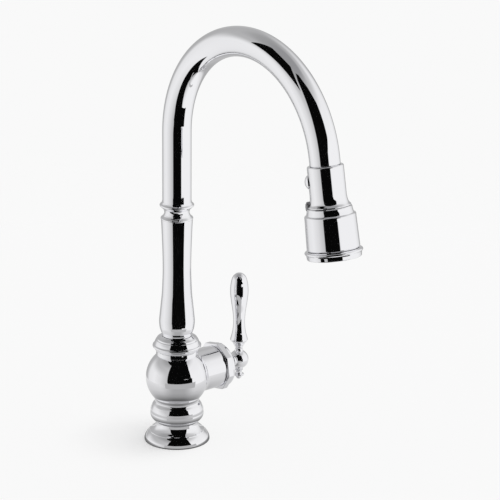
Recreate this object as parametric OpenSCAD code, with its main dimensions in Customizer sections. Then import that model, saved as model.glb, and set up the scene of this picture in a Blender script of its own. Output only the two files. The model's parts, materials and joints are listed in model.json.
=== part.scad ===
// Pull-down kitchen faucet with a gooseneck spout, a side lever and a docking spray head.
// Origin: centre of the base's underside, on the deck. +Z up, spout towards -Y, lever towards +X.

/* [Gooseneck] */
// Height from the deck to the top of the arch
total_h = 448; // [440:1:460]
// Centreline radius of the arch
arch_r = 109; // [106:1:112]
// Outside radius of the tube
tube_r = 14.5; // [14.3:0.1:14.6]
// Inside radius of the tube
tube_bore_r = 12.4; // [12.2:0.1:12.5]
// How far round the arch turns, in degrees
arch_turn = 170; // [168:1:172]

/* [Body] */
// Radius of the foot
foot_r = 33.3; // [33:0.1:34]
// Radius of the ball
ball_r = 31.6; // [31.2:0.1:32]
// Height of the ball's centre, and of the cartridge's axis
ball_z = 67.3; // [67:0.1:68]
// Radius of the side boss that holds the cartridge
boss_r = 21.8; // [21.6:0.1:22]
// Distance of the boss's end from the column's axis
boss_x = 47.9; // [47.8:0.1:48]

/* [Deck fixing] */
// Outside radius of the threaded shank
shank_r = 16; // [15.9:0.1:16]
// Length of the shank below the deck plane
shank_len = 62; // [60:1:66]
// Deck thickness that the nut is shown clamping
deck_t = 30; // [28:1:32]

/* [Lever] */
// Distance of the lever's axis from the column's axis
lever_x = 82.5; // [82:0.5:84]
// Radius of the hub ball
hub_r = 10; // [9.8:0.1:10.2]
// Distance of the tilt pivot from the column's axis
pivot_x = 52; // [52:0.1:52.2]

/* [Spray head] */
// Radius of the grip
grip_r = 17.2; // [17.2:0.1:17.4]
// How far the head is turned on its hose at rest, in degrees
head_turn = 48; // [0:1:90]
// Proud height of the smooth button
button_proud = 3.3; // [3:0.1:3.5]

/* [Hidden] */
$fn = 96;
eps = 0.01;
// A curve's steps between two of its knots
steps = 4;
// The straight tip is this much wider than the arch, which it overlaps
seam = 0.02;
arch_z = total_h - arch_r - tube_r;
hose_r = 5;
shank_bore_r = 13.5;
spigot_r = 15;
tube_ring_r = 9.3;
inlet_r = 4;
inlet_end_z = -110;
inlet_top_z = 39;
socket_len = 20;
shoulder_len = 28;
relief_w = 2;
relief_d = 0.8;
hose_end_z = -125;
coupling_len = 21;
casting_z0 = 20.3;
casting_z1 = 96.2;
collar_z0 = 96.6;
column_z0 = 112.6;
cap_z0 = 239.8;
tube_z0 = 253.2;
post_r = 10.5;
post_bore_r = 6.6;
post_z1 = 126;
running = 0.06;
nut_gap = 0.05;
// Stations along the head's axis, from the end of the arch
tip_len = 10;
rim_s = 6;
split_s = 44.8;
ring_s = 84.9;
lip_s = 93;
smooth_s = 20.5;
ribbed_s = 43.8;
// Cartridge stations along X
seal_x = 14;
disc_x = 27;

// Catmull-Rom curve through knots [radius, height].
function blend4(a, b, c, d, t) =
  0.5 * (2 * b + (c - a) * t + (2 * a - 5 * b + 4 * c - d) * t * t + (3 * b - a - 3 * c + d) * t * t * t);
function curve(k) = concat(
  [for (i = [0 : len(k) - 2]) for (j = [0 : steps - 1])
    blend4(k[max(i - 1, 0)], k[i], k[i + 1], k[min(i + 2, len(k) - 1)], j / steps)],
  [k[len(k) - 1]]);
// Points of a circular arc about centre c.
function arc(c, r, from, to, n = 6) =
  [for (i = [0 : n]) c + r * [cos(from + (to - from) * i / n), sin(from + (to - from) * i / n)]];

// Solid of revolution about Z from the points of its outside, closed along the axis.
module lathe(outside) {
  first = outside[0];
  last = outside[len(outside) - 1];
  rotate_extrude() polygon(concat([[0, first[1]]], outside, [[0, last[1]]]));
}

module ring(outer, inner, h) {
  difference() {
    cylinder(r = outer, h = h);
    translate([0, 0, -eps]) cylinder(r = inner, h = h + 2 * eps);
  }
}

module bore(r, z0, z1) {
  translate([0, 0, z0]) cylinder(r = r, h = z1 - z0);
}

// The head's frame: origin at the arch's end, -Z outwards along the hose.
module at_head() {
  translate([0, -arch_r + arch_r * cos(arch_turn), arch_z + arch_r * sin(arch_turn)])
    rotate([arch_turn - 180, 0, 0]) children();
}

// A ring or disc of the head from station s0 to s1.
module head_ring(outer, inner, s0, s1) {
  translate([0, 0, -s1]) ring(outer, inner, s1 - s0);
}

module head_bore(r, s0, s1) {
  bore(r, -s1, -s0);
}

// Button frame: +Z points out of the head at station s.
module at_button(s) {
  rotate([0, 0, head_turn]) translate([0, 0, -s]) rotate([-90, 0, 0]) children();
}

// The cartridge's frame: +Z runs outwards along the boss.
module at_boss() {
  translate([0, 0, ball_z]) rotate([0, 90, 0]) children();
}

// A tube that follows the arch and its straight ends.
module arch_run(r, z0, tip) {
  bore(r, z0, arch_z);
  translate([0, -arch_r, arch_z]) rotate([90, 0, 90]) rotate_extrude(angle = arch_turn)
    translate([arch_r, 0]) circle(r = r);
  at_head() head_bore(r + seam, -0.3, tip);
}

/* ---- Base and body, fixed to the deck ---- */

module base_flange() color("gainsboro") difference() {
  lathe(concat(
    [[foot_r - 0.6, 0]],
    arc([foot_r - 0.6, 0.6], 0.6, -90, 0, 3),
    curve([[foot_r, 1.4], [32.7, 3.8], [31.5, 6], [29.8, 8.2], [27.9, 10]]),
    curve([[27.5, 10.9], [26.7, 13], [24.6, 15.2], [22.2, 16.6], [21.4, 17]]),
    [[21.1, 17.6], [21.1, 20]]));
  bore(15.3, -eps, 21);
  bore(30.3, -eps, 2);
}

module deck_gasket() color("dimgray") ring(30, 18, 1.95);

// A relief groove ends the plain shoulder that fills the deck's hole; the thread starts below it.
module threaded_shank() color("tan") difference() {
  union() {
    bore(shank_r, -shank_len, 0);
    bore(spigot_r, -eps, 30);
  }
  bore(shank_bore_r, -shank_len - eps, 30 + eps);
  translate([0, 0, -shoulder_len - relief_w]) ring(shank_r + 1, shank_r - relief_d, relief_w);
}

// One of three tubes round the hose; turn is its bearing about Z. Its end is expanded for a fitting.
module water_tube(turn) {
  rotate([0, 0, turn]) translate([tube_ring_r, 0, 0]) difference() {
    bore(inlet_r, inlet_end_z, inlet_top_z);
    bore(inlet_r - 1, inlet_end_z - eps, inlet_end_z + socket_len);
    bore(inlet_r - 1.4, inlet_end_z, inlet_top_z + eps);
  }
}

module hot_inlet() color("peru") water_tube(210);
module cold_inlet() color("peru") water_tube(330);
module outlet_tube() color("peru") water_tube(90);

module body_casting() color("gainsboro") difference() {
  union() {
    lathe(concat(
      [[21.3, casting_z0], [22, 21.2]],
      curve([[22.6, 21.8], [25, 23.5], [26.6, 25.8], [27.2, 28.6], [26.9, 30.6]]),
      curve([[26.9, 31.2], [26.9, 33.4], [26.2, 35.6], [24.9, 38.4]]),
      curve([[24.3, 39.2], [22.4, 41.4], [22.3, 43.4], [25, 47.8]]),
      [[25, 60]]));
    translate([0, 0, ball_z]) sphere(r = ball_r);
    lathe(concat([[26, 70]], curve([[26.3, 84.5], [23.3, 90.6], [21.2, 94.2], [20.6, casting_z1]])));
    at_boss() cylinder(r = boss_r, h = boss_x);
  }
  bore(spigot_r, casting_z0 - eps, 30);
  bore(shank_bore_r, 30 - eps, 33);
  for (turn = [210, 330, 90]) rotate([0, 0, turn]) translate([tube_ring_r, 0, 0])
    bore(inlet_r, 32, inlet_top_z);
  bore(5.8, 32, 90);
  bore(40, casting_z1, 100);
  bore(11.5, 82, casting_z1 + eps);
  bore(19.3, 95.2, casting_z1 + eps);
  at_boss() bore(17.35, seal_x, boss_x + eps);
}

module swivel_post() color("tan") difference() {
  union() {
    bore(11.5, 82, 95.9);
    bore(post_r, 95, post_z1);
  }
  bore(post_bore_r, 82 - eps, post_z1 + eps);
  for (z = [105, 112]) translate([0, 0, z - 0.9]) ring(post_r + 1, 8.9, 1.8);
  translate([0, 0, 119]) ring(post_r + 1, 9.2, 2);
}

module post_o_rings() color("black") for (z = [105, 112])
  translate([0, 0, z]) rotate_extrude() translate([9.72, 0]) circle(r = 0.78, $fn = 24);

module thrust_washer() color("white") translate([0, 0, 95.2]) ring(19, 11.9, 1.3);

module retaining_clip() color("silver") translate([0, 0, 119.2]) difference() {
  ring(11.8, 9.25, 1.6);
  translate([0, -3, -1]) cube([15, 6, 4]);
}

/* ---- Cartridge, along the boss ---- */

module cartridge_seal() color("dimgray") at_boss() difference() {
  bore(16.5, seal_x, 16);
  for (turn = [0, 120, 240]) rotate([0, 0, turn]) translate([8.5, 0, 0]) bore(2.6, seal_x - 1, 17);
}

module cartridge_housing() color("ivory") at_boss() difference() {
  union() {
    bore(17.3, 16, 42);
    bore(15.2, 42 - eps, 46.5);
    bore(13.8, 46, 50);
  }
  for (turn = [0, 120, 240]) rotate([0, 0, turn]) translate([8.5, 0, 0]) bore(2.6, 15, disc_x + 1);
  bore(14, disc_x, 46.3);
  bore(11.3, 46, 51);
}

module fixed_disc() color("white") at_boss() difference() {
  bore(13.7, disc_x, 31.5);
  for (turn = [0, 120, 240]) rotate([0, 0, turn]) translate([8.5, 0, 0]) bore(2.4, disc_x - 1, 32);
}

module cartridge_nut() color("tan") at_boss() difference() {
  union() {
    bore(17.3, 42, 48 + eps);
    bore(19.2, 48, 54);
  }
  bore(15.3, 41, 55);
  bore(17.8, 49.5, 55);
}

module bonnet_nut() color("gainsboro") at_boss() difference() {
  union() {
    rotate([0, 0, 12]) translate([0, 0, 48.4]) cylinder(r = 25.6, h = 6.8, $fn = 8);
    translate([0, 0, 55.2 - eps]) lathe(concat(
      [[23.2, 0], [23.2, 0.6]], arc([19.9, 1.4], 3.2, 0, 60, 6), curve([[20.6, 4.6], [17.6, 6.6], [14.6, 7.8]])));
  }
  bore(19.3, 48, 54.6);
  translate([0, 0, pivot_x]) sphere(r = 17.5);
}

module moving_disc() color("white") at_boss() translate([2.6, 0, 31.55]) difference() {
  cylinder(r = 11, h = 3.95);
  translate([0, 0, -eps]) cylinder(r = 6.5, h = 2);
}

// The coupler's socket takes the stem's ball, on the cartridge's axis at rest.
module disc_coupler() color("darkslategray") at_boss() difference() {
  translate([2.6, 0, 35.55]) cylinder(r = 10.6, h = 4.2);
  bore(2.75, 35, 42);
}

module stem_carrier() color("darkslategray") at_boss() difference() {
  union() {
    bore(13.6, 41.6, 46);
    bore(11, 45, 56.5);
  }
  translate([-7, -3.3, 41]) cube([13.8, 6.6, 17]);
  translate([0, 0, pivot_x]) rotate([90, 0, 0]) cylinder(r = 1.55, h = 30, center = true);
}

module pivot_pin() color("silver") at_boss() translate([0, 0, pivot_x]) rotate([90, 0, 0])
  cylinder(r = 1.5, h = 20.6, center = true);

module lever_stem() color("silver") at_boss() difference() {
  union() {
    translate([0, 0, 38.5]) sphere(r = 2.4);
    bore(2, 38.5, pivot_x);
    translate([0, 0, pivot_x]) rotate([90, 0, 0]) cylinder(r = 3.6, h = 5.8, center = true);
    bore(3, pivot_x, 82);
  }
  translate([0, 0, pivot_x]) rotate([90, 0, 0]) cylinder(r = 1.55, h = 8, center = true);
}

// Spherical skirt about the tilt pivot, that keeps the bonnet's mouth closed.
module dome_cap() color("gainsboro") at_boss() translate([0, 0, pivot_x]) difference() {
  sphere(r = 17.1);
  sphere(r = 15.2);
  bore(30, -20, 17.1 * cos(76));
  bore(3.02, 0, 20);
}

module handle_hub() color("gainsboro") difference() {
  union() {
    translate([lever_x, 0, ball_z]) sphere(r = hub_r);
    at_boss() lathe(concat([[7.2, 69.5], [7.2, 70.6]], curve([[6.4, 71.6], [5.9, 73], [6.2, 75]])));
    translate([lever_x, 0, 0]) lathe([[4, ball_z], [4, 78.4], [3.6, 79.4]]);
    translate([lever_x, 0, 0]) lathe([[3.6, 56.2], [4.2, 57.4], [4.2, ball_z]]);
  }
  at_boss() bore(3.02, 60, 82.05);
  at_boss() translate([0, 0, pivot_x]) sphere(r = 17.3);
  translate([lever_x, 3, ball_z]) rotate([-90, 0, 0]) cylinder(r = 1.6, h = 10);
}

module hub_set_screw() color("dimgray") translate([lever_x, 3.2, ball_z]) rotate([-90, 0, 0]) difference() {
  cylinder(r = 1.55, h = 5.4);
  translate([0, 0, 3.6]) cylinder(r = 0.85, h = 3, $fn = 6);
}

module lever_handle() color("gainsboro") translate([lever_x, 0, 0]) lathe(concat(
  [[3.4, 79.5]],
  arc([3.2, 81.2], 1.1, -80, 80, 6),
  [[3.7, 82.5]],
  arc([4.4, 84], 1.2, -80, 80, 6),
  curve([[4.6, 85.2], [7, 86.2], [8.9, 88.4], [9, 89.7], [8, 93.4], [6.7, 99.5], [6, 108.6], [6.7, 119],
    [8.4, 130.5], [9.45, 140.7], [8.9, 149.5], [7, 156.6], [3.6, 160.3], [0.4, 161]])));

module lever_finial() color("gainsboro") translate([lever_x, 0, 0]) lathe(concat(
  [[0.4, 45.6]],
  curve([[1.4, 45.9], [2.7, 47.4], [3, 49]]),
  arc([4.4, 50.6], 1.1, -80, 80, 6),
  curve([[4, 51.9], [3.2, 53.2], [3.5, 55], [4.3, 56.1]])));

/* ---- Spout, turning about Z ---- */

module swivel_collar() color("gainsboro") difference() {
  lathe(concat(
    [[20.9, collar_z0]],
    curve([[21.6, 96.9], [22.1, 97.6], [22.3, 98.6]]),
    curve([[22.5, 99], [23.4, 99.6]]),
    arc([23.2, 101.5], 1.5, -60, 80, 8),
    curve([[23.1, 103.4], [22.6, 105.2], [21.4, 107.8]]),
    [[20.7, 108.2], [20.5, 109]],
    curve([[20.2, 109.6], [18.3, 110.7], [16.4, 112.3]])));
  bore(post_r + running, collar_z0 - eps, 107);
  bore(13.5, 106.5, 113);
}

module column() color("gainsboro") difference() {
  lathe(concat(
    [[13.5, 106.5], [13.5, column_z0]],
    curve([[15.2, column_z0], [15.4, 114.6], [16.4, 117.2], [17.6, 121.6], [18.05, 127.4], [17.75, 131.7],
      [16.45, 144.5], [15.2, 157], [14.6, 170], [14.25, 182.6], [14.55, 201.6], [15, 214], [15.5, 226.7],
      [15.9, 233.6]]),
    arc([15.3, 235.9], 1, -50, 60, 6),
    curve([[15.3, 237.2], [13.9, 238.5], [13.2, cap_z0]])));
  bore(post_r + running, 106, 127);
  translate([0, 0, 118.9]) cylinder(r = 12.1, h = 2.2);
  bore(9.5, 120, 241);
  bore(11.4, 232, 241);
}

module column_cap() color("gainsboro") difference() {
  lathe(concat(
    [[11.4, 232.1], [11.4, cap_z0]],
    curve([[13, cap_z0], [12.6, 241.6], [12.8, 243.4], [13.5, 245.4]]),
    curve([[14.2, 246.2], [15.6, 247.4]]),
    arc([15.9, 249.5], 1.3, -75, 75, 8),
    curve([[15.7, 251.2], [15, 252.4], [14.9, tube_z0]])));
  bore(9.5, 232, 249);
  bore(13.6, 248.4, 254);
}

module gooseneck() color("gainsboro") difference() {
  union() {
    arch_run(tube_r, tube_z0, rim_s - 0.3);
    at_head() head_bore(13.7, 2, tip_len);
    bore(13.6, 248.4, tube_z0 + eps);
  }
  arch_run(tube_bore_r, 248, tip_len + 1);
}

module dock_sleeve() color("white") at_head() head_ring(tube_bore_r, 6.3, 0.5, 5);

module dock_magnet() color("gray") at_head() head_ring(tube_bore_r, 7.4, 5.1, 9.8);

// The hose runs inside the shank, column and arch, as far as the head's fitting.
module spray_hose() color("slategray") arch_run(hose_r, hose_end_z, 24);

module hose_coupling() color("silver") translate([0, 0, hose_end_z - coupling_len]) difference() {
  lathe([[5, 0], [6, 1], [6, 12], [5.4, 12.8], [5.4, coupling_len - 1], [5, coupling_len]]);
  translate([0, 0, -eps]) cylinder(r = 3.4, h = 16);
}

/* ---- Hose end fitting, pulled out with the head ---- */

module hose_ferrule() color("silver") at_head() head_ring(6.3, hose_r + nut_gap, 15, 24);

module hose_stem() color("tan") at_head() difference() {
  union() {
    head_bore(5.9, 24, 29.6);
    head_bore(7, 29.5, 32);
    head_bore(4.98, 31, 44);
  }
  head_bore(3, 23, 45);
  head_ring(6, 4, 39, 40.6);
}

module stem_o_ring() color("black") at_head() translate([0, 0, -39.8]) rotate_extrude()
  translate([4.48, 0]) circle(r = 0.46, $fn = 24);

/* ---- Spray head, turning on the fitting ---- */

module dock_armature() color("silver") at_head() head_ring(15, 6.9, 10.8, 12.6);

module inlet_nut() color("tan") at_head() difference() {
  head_bore(11, 28.2, 35);
  head_bore(6.6, 28, 36);
  head_bore(7.3, 29.2, 36);
}

module waterway() color("whitesmoke") at_head() difference() {
  head_bore(14.8, 13, 66);
  head_bore(8, 12, 28.1);
  head_bore(11.05, 28, 35.2);
  head_bore(5.03, 34, 53);
  head_bore(7.2, 53, 65.2);
  for (turn = [0 : 60 : 300]) rotate([0, 0, turn]) translate([4.6, 0, 0]) head_bore(1.4, 64, 67);
  at_button(smooth_s) bore(7.3, 9.6, 16);
  at_button(ribbed_s) bore(5.5, 8.4, 16);
}

module check_valve() color("royalblue") at_head() difference() {
  head_bore(4.95, 45, 52);
  head_bore(2.6, 44, 53);
}

module diverter_spool() color("orange") at_head() difference() {
  union() {
    head_bore(6.9, 54, 56);
    head_bore(4.5, 55.5, 60);
    head_bore(6.9, 59.5, 61.8);
  }
  head_bore(2, 53, 62);
}

module head_grip() color("gainsboro") at_head() difference() {
  lathe(concat(
    [[20.5, -44.5], [20.5, -43.8]],
    curve([[20, -43.2], [18.4, -41.2], [17.5, -37.6], [grip_r, -34]]),
    [[grip_r, -12]],
    arc([grip_r - 1.5, -rim_s - 1.5], 1.5, 0, 90, 5)));
  head_bore(14.2, 5, 10.6);
  head_bore(15.2, 10.6, 45);
  at_button(smooth_s) bore(6.8, 10, 30);
  at_button(ribbed_s) bore(5.5, 10, 30);
}

module head_bell() color("gainsboro") at_head() difference() {
  lathe(concat(
    [[24.2, -ring_s + 0.3], [25, -83.2]],
    curve([[25, -83], [24.8, -76], [24.5, -66], [24.2, -56]]),
    arc([22.6, -53.4], 1.6, 0, 75, 5),
    [[22.2, -51.5]],
    curve([[22.2, -51.2], [21.6, -48.4], [21.2, -45.6]]),
    [[20.6, -split_s]]));
  head_bore(15.1, 44, 55);
  head_bore(22.5, 54, 86);
  at_button(ribbed_s) bore(5.5, 10, 30);
}

module spray_ring() color("gainsboro") at_head() difference() {
  lathe(concat(
    [[25, -lip_s]],
    arc([25, -92.3], 0.7, -90, 0, 3),
    [[26, -89.4]],
    curve([[26.2, -89], [26.5, -88.2]]),
    arc([26, -86.8], 1.4, -60, 60, 8),
    [[26, -85.4], [25.2, -ring_s]]));
  head_bore(22.6, ring_s - 1, 92);
  head_bore(23.4, 91, 94);
}

module distributor() color("whitesmoke") at_head() difference() {
  union() {
    head_bore(14.6, 66.2, 72);
    head_bore(22.2, 71.5, 88);
  }
  head_bore(9, 66, 72);
  head_ring(20.5, 9, 74, 89);
  head_bore(6.9, 66, 89);
}

// Bearings of the nozzles on ring k, and how many each ring has.
nozzle_rings = [[11, 12], [15, 16], [19, 20]];
module nozzles(r, s0, s1) {
  for (k = nozzle_rings) for (i = [0 : k[1] - 1])
    rotate([0, 0, 360 * i / k[1]]) translate([k[0], 0, 0]) head_bore(r, s0, s1);
}

module nozzle_pad() color("dimgray") at_head() difference() {
  union() {
    head_ring(22, 7.6, 88.2, 89.2);
    nozzles(0.85, 89, 92.4, $fn = 16);
  }
  nozzles(0.35, 88, 93, $fn = 16);
}

module spray_face() color("silver") at_head() difference() {
  head_ring(22.5, 7.6, 89.3, 91.4);
  nozzles(0.95, 89, 92, $fn = 16);
}

module aerator() color("gray") at_head() difference() {
  head_bore(7.4, 88.2, 92.2);
  for (k = [0 : 3]) head_ring(1.6 + 1.5 * k, 0.9 + 1.5 * k, 90.6, 93);
  head_bore(5, 87, 89.5);
}

module mode_button() color("gainsboro") at_head() at_button(smooth_s) difference() {
  union() {
    bore(7, 12, 13);
    bore(6.5, 12.5, 16.9);
    intersection() {
      translate([0, 0, grip_r + button_proud - 8.4]) sphere(r = 8.4);
      bore(6.5, 14, 24);
    }
  }
  bore(3.5, 11, 14.5);
}

module mode_spring() color("silver") at_head() at_button(smooth_s)
  translate([0, 0, 9.65]) ring(3.2, 2.5, 4.8);

module pause_button() color("darkgray") at_head() at_button(ribbed_s) difference() {
  union() {
    bore(5.2, 12, 18);
    intersection() {
      translate([0, 0, 15.4]) sphere(r = 6.9);
      bore(5.2, 17, 24);
    }
  }
  bore(3.1, 11, 14.5);
  for (k = [-2 : 2]) translate([1.7 * k - 0.3, -6, 19.4 - abs(k) * 0.5]) cube([0.6, 12, 6]);
}

module pause_spring() color("silver") at_head() at_button(ribbed_s)
  translate([0, 0, 8.5]) ring(2.8, 2.2, 5.9);

/* ---- Clamp under the deck ---- */

module deck_washer() color("dimgray") translate([0, 0, -deck_t - 3]) ring(29, shank_r + nut_gap, 3);

module clamp_washer() color("silver") translate([0, 0, -deck_t - 5]) ring(29, shank_r + nut_gap, 2);

module mounting_nut() color("tan") translate([0, 0, -deck_t - 17]) difference() {
  cylinder(r = 25, h = 12, $fn = 6);
  translate([0, 0, -eps]) cylinder(r = shank_r + nut_gap, h = 13);
}

base_flange();
deck_gasket();
threaded_shank();
body_casting();
hot_inlet();
cold_inlet();
outlet_tube();
swivel_post();
post_o_rings();
thrust_washer();
retaining_clip();
cartridge_seal();
cartridge_housing();
fixed_disc();
cartridge_nut();
bonnet_nut();
moving_disc();
disc_coupler();
stem_carrier();
pivot_pin();
lever_stem();
dome_cap();
handle_hub();
hub_set_screw();
lever_handle();
lever_finial();
swivel_collar();
column();
column_cap();
gooseneck();
dock_sleeve();
dock_magnet();
spray_hose();
hose_coupling();
hose_ferrule();
hose_stem();
stem_o_ring();
dock_armature();
inlet_nut();
waterway();
check_valve();
diverter_spool();
head_grip();
head_bell();
spray_ring();
distributor();
nozzle_pad();
spray_face();
aerator();
mode_button();
mode_spring();
pause_button();
pause_spring();
deck_washer();
clamp_washer();
mounting_nut();
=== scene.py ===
"""Visual model of the pull-down kitchen faucet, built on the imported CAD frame.

Metres; outlines are in millimetres.
"""
import json
import math

import bmesh
import bpy
import numpy as np
from mathutils import Matrix, Vector

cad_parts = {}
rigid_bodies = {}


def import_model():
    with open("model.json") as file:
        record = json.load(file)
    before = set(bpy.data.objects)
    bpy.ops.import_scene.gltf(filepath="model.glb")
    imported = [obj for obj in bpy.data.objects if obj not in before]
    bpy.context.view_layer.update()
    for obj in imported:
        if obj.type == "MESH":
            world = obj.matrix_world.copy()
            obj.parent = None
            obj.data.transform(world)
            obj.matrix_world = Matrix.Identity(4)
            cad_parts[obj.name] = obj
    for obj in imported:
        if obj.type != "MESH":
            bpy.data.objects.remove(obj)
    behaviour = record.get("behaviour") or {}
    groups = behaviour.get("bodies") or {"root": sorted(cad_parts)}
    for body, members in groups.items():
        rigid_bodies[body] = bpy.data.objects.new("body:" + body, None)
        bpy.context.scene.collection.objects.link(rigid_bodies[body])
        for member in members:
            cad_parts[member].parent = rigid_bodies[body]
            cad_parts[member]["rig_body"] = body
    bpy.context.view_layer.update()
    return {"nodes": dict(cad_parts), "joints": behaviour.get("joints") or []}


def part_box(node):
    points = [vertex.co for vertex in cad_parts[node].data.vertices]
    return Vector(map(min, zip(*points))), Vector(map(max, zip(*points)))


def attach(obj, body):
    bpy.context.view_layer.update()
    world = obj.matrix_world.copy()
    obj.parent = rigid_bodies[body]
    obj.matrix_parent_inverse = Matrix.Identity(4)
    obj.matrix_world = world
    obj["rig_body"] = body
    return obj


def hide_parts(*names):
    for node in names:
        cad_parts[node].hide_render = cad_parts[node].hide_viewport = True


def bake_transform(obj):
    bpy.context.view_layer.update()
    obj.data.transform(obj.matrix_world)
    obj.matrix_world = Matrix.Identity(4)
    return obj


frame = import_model()
NODES = frame["nodes"]
JOINTS = {j["name"]: j for j in frame["joints"]}
MM = 0.001
SIDES = 160

# ---------------------------------------------------------------- frames

BALL_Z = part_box("lever_stem")[0].z / 2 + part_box("lever_stem")[1].z / 2
LEVER_X = (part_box("lever_handle")[0].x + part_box("lever_handle")[1].x) / 2
AXIS_T = Vector(JOINTS["head_swivel"]["axis"]).normalized()
ARCH_END = Vector(JOINTS["head_swivel"]["pos_m"])
HEAD = Matrix.Translation(ARCH_END) @ Vector((0, 0, 1)).rotation_difference(-AXIS_T).to_matrix().to_4x4()
BOSS = Matrix.Translation((0, 0, BALL_Z)) @ Matrix.Rotation(math.radians(90), 4, "Y")
LEVER = Matrix.Translation((LEVER_X, 0, 0))
WORLD = Matrix.Identity(4)
HEAD_TURN = math.radians(48)


def span(node, local):
    """Lowest and highest height of a CAD node along the local frame's Z, in mm."""
    inverse = local.inverted()
    heights = [(inverse @ v.co).z for v in NODES[node].data.vertices]
    return min(heights) / MM, max(heights) / MM


def button_frame(station):
    """+Z points out of the head at that station, as in the CAD."""
    return (HEAD @ Matrix.Rotation(HEAD_TURN, 4, "Z") @ Matrix.Translation((0, 0, -station * MM))
            @ Matrix.Rotation(math.radians(-90), 4, "X"))


# ---------------------------------------------------------------- outlines


def arc(centre, r, start, end, n=16):
    return [(centre[0] + r * math.cos(math.radians(start + (end - start) * i / n)),
             centre[1] + r * math.sin(math.radians(start + (end - start) * i / n))) for i in range(n + 1)]


def curve(knots, steps=10):
    """The same curve through knots as the CAD's, with more steps."""
    k = [np.array(p, float) for p in knots]
    out = []
    for i in range(len(k) - 1):
        a, b, c, d = k[max(i - 1, 0)], k[i], k[i + 1], k[min(i + 2, len(k) - 1)]
        for j in range(steps):
            t = j / steps
            p = 0.5 * (2 * b + (c - a) * t + (2 * a - 5 * b + 4 * c - d) * t ** 2
                       + (3 * b - a - 3 * c + d) * t ** 3)
            out.append((float(p[0]), float(p[1])))
    return out + [tuple(map(float, k[-1]))]


def clean(points, closed):
    """Drops repeated points."""
    out = []
    for p in points:
        if not out or math.dist(p, out[-1]) > 0.004:
            out.append(p)
    if closed and math.dist(out[0], out[-1]) < 0.004:
        out.pop()
    return out


def rounded(points, closed, corner=0.18, sharp=24):
    """Points and normals of an outline: real corners get a small round, curves keep a smooth normal."""
    points = clean(points, closed)
    n = len(points)
    out = []
    for i, p in enumerate(points):
        if not closed and i in (0, n - 1):
            q = points[1] if i == 0 else points[n - 2]
            d = np.subtract(q, p) if i == 0 else np.subtract(p, q)
            d = d / np.linalg.norm(d)
            out.append((p, (d[1], -d[0])))
            continue
        a, c = points[i - 1], points[(i + 1) % n]
        u, v = np.subtract(p, a), np.subtract(c, p)
        lu, lv = np.linalg.norm(u), np.linalg.norm(v)
        u, v = u / lu, v / lv
        turn = math.degrees(math.atan2(u[0] * v[1] - u[1] * v[0], float(np.dot(u, v))))
        if abs(turn) > sharp:
            reach = min(corner, 0.35 * lu, 0.35 * lv)
            start, end = np.array(p) - u * reach, np.array(p) + v * reach
            for k in range(5):
                t = k / 4
                q = (1 - t) ** 2 * start + 2 * t * (1 - t) * np.array(p) + t * t * end
                d = (1 - t) * u + t * v
                d = d / max(np.linalg.norm(d), 1e-9)
                out.append((tuple(q), (d[1], -d[0])))
        else:
            if lu > 3 * lv:
                d = u
            elif lv > 3 * lu:
                d = v
            else:
                d = u * lv + v * lu
                d = d / np.linalg.norm(d)
            out.append((p, (d[1], -d[0])))
    return out


def shell(outline, local, closed, sides=SIDES):
    """Vertices, faces and normals of an outline (radius, height in mm) turned about the local frame's Z."""
    pts = rounded(outline, closed)
    rot = local.to_3x3()
    verts, normals, faces = [], [], []
    for (r, z), (nr, nz) in pts:
        for k in range(sides):
            a = 2 * math.pi * k / sides
            verts.append(local @ Vector((r * math.cos(a) * MM, r * math.sin(a) * MM, z * MM)))
            normals.append((rot @ Vector((nr * math.cos(a), nr * math.sin(a), nz))).normalized())
    rows = len(pts)
    for i in range(rows if closed else rows - 1):
        j = (i + 1) % rows
        for k in range(sides):
            m = (k + 1) % sides
            faces.append((i * sides + k, i * sides + m, j * sides + m, j * sides + k))
    return verts, faces, normals


def upward(points):
    """The outline ordered so that its outside is on the right of its direction: bottom to top."""
    return points if points[0][1] <= points[-1][1] else points[::-1]


def with_bore(outline, inner):
    """Closes an outside outline with a bore's wall, given as a radius or as points from bottom to top."""
    outline = upward(outline)
    wall = inner if isinstance(inner, list) else [(inner, outline[0][1]), (inner, outline[-1][1])]
    return outline + wall[::-1]


# ---------------------------------------------------------------- pieces


def build(name, parts, body, slot, nodes):
    """One mesh piece from shells of (vertices, faces, normals)."""
    verts, faces, normals = [], [], []
    for v, f, nn in parts:
        base = len(verts)
        verts += v
        normals += nn
        faces += [tuple(i + base for i in q) for q in f]
    mesh = bpy.data.meshes.new(name)
    mesh.from_pydata([tuple(v) for v in verts], [], faces)
    mesh.validate()
    mesh.polygons.foreach_set("use_smooth", [True] * len(mesh.polygons))
    mesh.update()
    mesh.normals_split_custom_set_from_vertices([tuple(n) for n in normals])
    obj = bpy.data.objects.new(name, mesh)
    bpy.context.scene.collection.objects.link(obj)
    obj.data.materials.append(MATERIALS[slot])
    if nodes:
        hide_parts(*nodes)
    if body:
        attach(obj, body)
    return obj


def placed(outline, node, local):
    """The outline moved along its axis so that its low end lies where the CAD node's does."""
    shift = span(node, local)[0] - min(p[1] for p in outline)
    return [(r, z + shift) for r, z in outline]


def piece(name, node, parts, slot="chrome"):
    """Builds a piece that rides the body of the one node it replaces."""
    return build(name, parts, NODES[node]["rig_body"], slot, [node])


def turned(name, node, outline, local, slot, inner=None, closed=True, sides=SIDES):
    """A turned piece in place of a CAD node."""
    loop = with_bore(outline, inner) if inner is not None else upward(outline) if closed is False else outline
    loop = placed(loop, node, local)
    return piece(name, node, [shell(loop, local, closed, sides)], slot)


def apply_modifiers(obj):
    bpy.context.view_layer.update()
    done = bpy.data.meshes.new_from_object(obj.evaluated_get(bpy.context.evaluated_depsgraph_get()))
    obj.modifiers.clear()
    obj.data = done


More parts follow.
